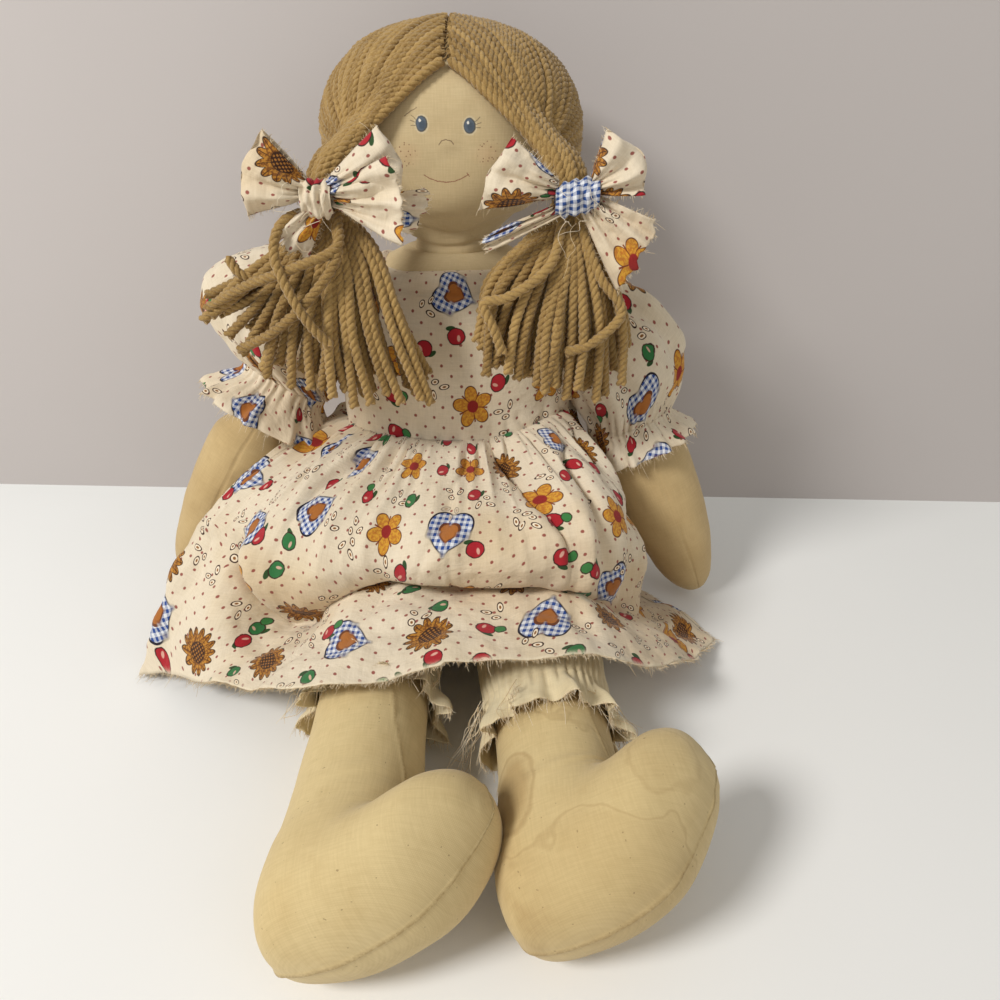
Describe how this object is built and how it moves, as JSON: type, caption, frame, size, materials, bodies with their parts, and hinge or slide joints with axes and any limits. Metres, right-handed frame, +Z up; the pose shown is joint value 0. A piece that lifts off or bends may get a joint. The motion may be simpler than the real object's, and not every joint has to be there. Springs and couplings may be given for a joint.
{
  "type": "rag doll",
  "caption": "Seated rag doll of stuffed muslin with yarn pigtails in cloth bows, a gathered print dress, puffed sleeves and bloomers; arms, legs, head and pigtails move.",
  "frame": {"origin": "on the floor, in the middle of the flat seat that the doll rests on", "axes": "+Z up, the doll faces -Y, its own left is +X"},
  "size_m": [0.2968, 0.3213, 0.2972],
  "materials": {
    "muslin": "plain unbleached cotton muslin, matt",
    "leg_muslin": "plain cotton muslin, yellowed, with water stains",
    "print_cloth": "cream cotton with small red dots and a scattered print",
    "bloomer_cloth": "thin cream muslin with a frayed edge",
    "yarn": "twisted tan wool yarn, fuzzy",
    "thread": "strong sewing thread and yarn",
    "elastic": "narrow woven elastic",
    "nickel": "small sew-on snaps, nickel plated"
  },
  "bodies": {
    "torso": {"torso": "muslin", "bloomers_seat": "bloomer_cloth", "bloomers_waist_elastic": "elastic", "bodice_front": "print_cloth", "bodice_back_right": "print_cloth", "bodice_back_left": "print_cloth", "back_snap_upper": "nickel", "back_snap_lower": "nickel", "skirt_front": "print_cloth", "skirt_back": "print_cloth"},
    "head": {"head": "muslin", "hair_right": "yarn", "hair_left": "yarn", "parting_stitching": "thread", "pigtail_tie_right": "thread", "pigtail_tie_left": "thread", "bow_right": "print_cloth", "bow_knot_right": "print_cloth", "bow_left": "print_cloth", "bow_knot_left": "print_cloth"},
    "pigtail_right": {"pigtail_right": "yarn"},
    "pigtail_left": {"pigtail_left": "yarn"},
    "arm_right": {"arm_right": "muslin", "sleeve_right": "print_cloth", "sleeve_elastic_right": "elastic"},
    "arm_left": {"arm_left": "muslin", "sleeve_left": "print_cloth", "sleeve_elastic_left": "elastic"},
    "leg_right": {"leg_right": "leg_muslin", "bloomer_leg_right": "bloomer_cloth", "bloomer_elastic_right": "elastic"},
    "leg_left": {"leg_left": "leg_muslin", "bloomer_leg_left": "bloomer_cloth", "bloomer_elastic_left": "elastic"}
  },
  "joints": [
    {"name": "neck_nod", "type": "hinge", "parent": "torso", "child": "head", "pos_m": [0, 0.02, 0.194], "axis": [1, 0, 0], "range_deg": [-20, 4]},
    {"name": "pigtail_swing_right", "type": "hinge", "parent": "head", "child": "pigtail_right", "pos_m": [-0.052, -0.024, 0.21045], "axis": [0, 1, 0], "range_deg": [-5, 35]},
    {"name": "pigtail_swing_left", "type": "hinge", "parent": "head", "child": "pigtail_left", "pos_m": [0.052, -0.024, 0.21045], "axis": [0, -1, 0], "range_deg": [-5, 35]},
    {"name": "shoulder_lift_right", "type": "hinge", "parent": "torso", "child": "arm_right", "pos_m": [-0.06, 0.019, 0.172], "axis": [0, 1, 0], "range_deg": [0, 42]},
    {"name": "shoulder_lift_left", "type": "hinge", "parent": "torso", "child": "arm_left", "pos_m": [0.06, 0.019, 0.172], "axis": [0, -1, 0], "range_deg": [0, 42]},
    {"name": "hip_swing_right", "type": "hinge", "parent": "torso", "child": "leg_right", "pos_m": [-0.035, -0.038, 0.02785], "axis": [1, 0, 0], "range_deg": [0, 85]},
    {"name": "hip_swing_left", "type": "hinge", "parent": "torso", "child": "leg_left", "pos_m": [0.035, -0.038, 0.02785], "axis": [1, 0, 0], "range_deg": [0, 85]}
  ]
}
